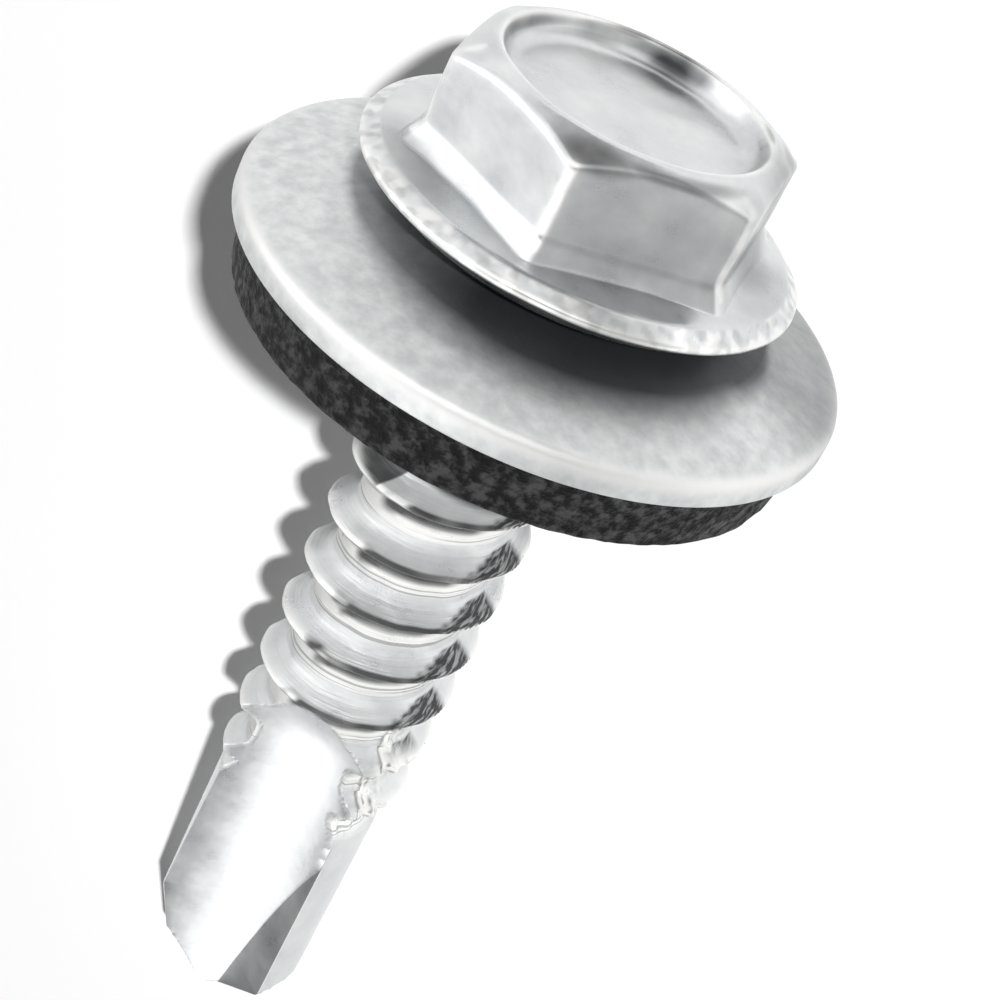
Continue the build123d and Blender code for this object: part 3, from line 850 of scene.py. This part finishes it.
def makeFloor():
    # one square card; rays that see it get a faint glow added, which grows to white with the distance
    reach = studio["floorReach"]
    mesh = bpy.data.meshes.new("studio_floor")
    mesh.from_pydata([(-reach, -reach, 0), (reach, -reach, 0), (reach, reach, 0), (-reach, reach, 0)],
                     [], [(0, 1, 2, 3)])
    floor = bpy.data.objects.new("studio_floor", mesh)
    bpy.context.scene.collection.objects.link(floor)
    material, tree = newMaterial("pale_card")
    ray = addNode(tree, "ShaderNodeLightPath")
    seen = addNode(tree, "ShaderNodeMath", {"operation": "ADD"},
                   {0: ray.outputs["Is Camera Ray"], 1: ray.outputs["Is Glossy Ray"]}).outputs[0]
    seen = addNode(tree, "ShaderNodeMath", {"operation": "ADD", "use_clamp": True},
                   {0: seen, 1: ray.outputs["Is Transmission Ray"]}).outputs[0]
    # far from the lamps the card is shown lit, so that it runs into the white surround
    place = addNode(tree, "ShaderNodeTexCoord").outputs["Object"]
    away = addNode(tree, "ShaderNodeVectorMath", {"operation": "LENGTH"}, {0: place}).outputs["Value"]
    glowing = addNode(tree, "ShaderNodeMapRange", {
        "interpolation_type": "SMOOTHSTEP", 1: studio["litFrom"], 2: studio["litBy"],
        3: studio["floorGlow"], 4: 1.0}, {0: away}).outputs[0]
    strength = addNode(tree, "ShaderNodeMath", {"operation": "MULTIPLY"}, {0: seen, 1: glowing}).outputs[0]
    glow = addNode(tree, "ShaderNodeEmission", {"Color": (1, 1, 1, 1)}, {"Strength": strength}).outputs[0]
    matt = addNode(tree, "ShaderNodeBsdfDiffuse", {"Color": linear(studio["floorColour"])}).outputs[0]
    both = addNode(tree, "ShaderNodeAddShader", None, {0: matt, 1: glow}).outputs[0]
    addNode(tree, "ShaderNodeOutputMaterial", None, {"Surface": both})
    floor.data.materials.append(material)


def makeSurround():
    # level in a direction = product of the cards' levels, each blended in by its angle from the card
    world = bpy.data.worlds.new("light_tent")
    bpy.context.scene.world = world
    world.use_nodes = True
    tree = world.node_tree
    tree.nodes.clear()
    ray = addNode(tree, "ShaderNodeLightPath")
    look = addNode(tree, "ShaderNodeTexCoord").outputs["Generated"]
    # the pale tent's level is 1, multiplied by each card's level within its cone
    shade = None
    for direction, full, gone, level in studio["cards"]:
        facing = addNode(tree, "ShaderNodeVectorMath", {
            "operation": "DOT_PRODUCT", 1: tuple(Vector(direction).normalized())}, {0: look}).outputs["Value"]
        card = addNode(tree, "ShaderNodeMapRange", {
            "interpolation_type": "SMOOTHSTEP", 1: math.cos(math.radians(gone)),
            2: math.cos(math.radians(full)), 3: 1.0, 4: level}, {0: facing}).outputs[0]
        shade = card if shade is None else addNode(
            tree, "ShaderNodeMath", {"operation": "MULTIPLY"}, {0: shade, 1: card}).outputs[0]
    # metal sees the tent with its cards; the camera sees it plain white
    seen = addNode(tree, "ShaderNodeMath", {"operation": "ADD", "use_clamp": True},
                   {0: ray.outputs["Is Camera Ray"], 1: ray.outputs["Is Transmission Ray"]}).outputs[0]
    mirrored = addNode(tree, "ShaderNodeMix", {"data_type": "FLOAT", 2: studio["diffuseLevel"]},
                       {0: ray.outputs["Is Glossy Ray"], 3: shade}).outputs[0]
    strength = addNode(tree, "ShaderNodeMix", {"data_type": "FLOAT", 3: 1.0},
                       {0: seen, 2: mirrored}).outputs[0]
    light = addNode(tree, "ShaderNodeBackground", {"Color": (1, 1, 1, 1)}, {"Strength": strength}).outputs[0]
    addNode(tree, "ShaderNodeOutputWorld", None, {"Surface": light})


def addLamp(name, place, target, size, power, mirrored):
    # a square softbox, turned so that it shines from its place to the target
    lamp = bpy.data.lights.new(name, "AREA")
    lamp.shape = "SQUARE"
    lamp.size = size
    lamp.energy = power
    holder = bpy.data.objects.new(name, lamp)
    holder.location = place
    holder.rotation_euler = (Vector(place) - Vector(target)).to_track_quat("Z", "Y").to_euler()
    holder.visible_glossy = mirrored
    bpy.context.scene.collection.objects.link(holder)


makeFloor()
makeSurround()
for lampSettings in studio["lamps"]:
    addLamp(*lampSettings)

camera = bpy.data.cameras.new("camera")
camera.sensor_width = 36
camera.lens = studio["lens"]
camera.clip_start = 0.001
camera.clip_end = 5
cameraObject = bpy.data.objects.new("camera", camera)
cameraObject.location = studio["cameraPlace"]
cameraObject.rotation_euler = Euler(studio["cameraTurn"])
bpy.context.scene.collection.objects.link(cameraObject)
bpy.context.scene.camera = cameraObject
bpy.context.scene.view_settings.view_transform = "Standard"
print("floor, light and camera done")
